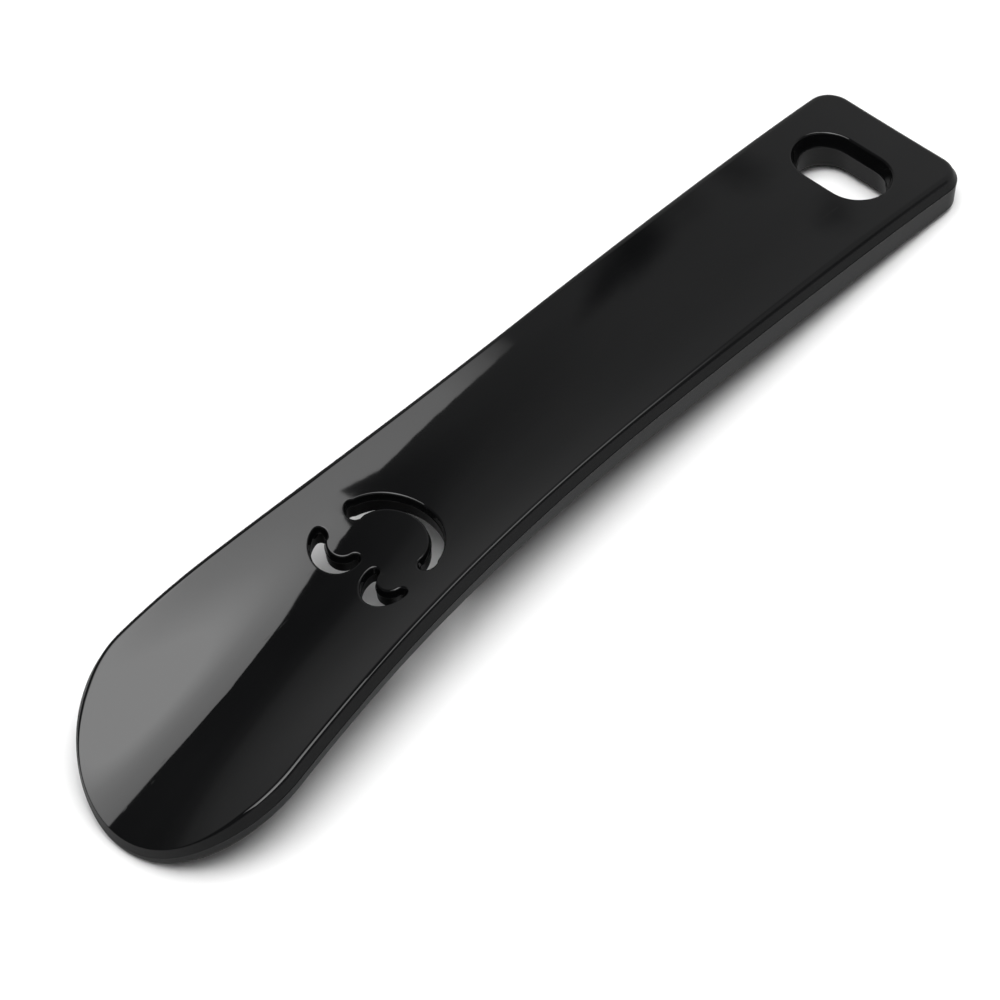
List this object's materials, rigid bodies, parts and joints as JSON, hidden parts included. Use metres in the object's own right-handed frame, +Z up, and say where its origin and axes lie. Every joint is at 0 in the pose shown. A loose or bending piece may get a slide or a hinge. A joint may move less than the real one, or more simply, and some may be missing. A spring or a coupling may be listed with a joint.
{
  "type": "shoehorn",
  "caption": "One-piece gloss plastic shoehorn: an arched handle with a hanging slot and a flared, dished blade with a cut-out smiling face.",
  "frame": {"origin": "middle of the length and width, on the surface that the shoehorn lies on", "axes": "+X runs from the handle's end to the blade's tip, +Y goes across, and +Z is up, out of the dished side"},
  "size_m": [0.17, 0.0364, 0.0182],
  "materials": {
    "body_plastic": "glossy black injection-moulded plastic"
  },
  "bodies": {
    "root": {"shoehorn_body": "body_plastic"}
  },
  "joints": []
}
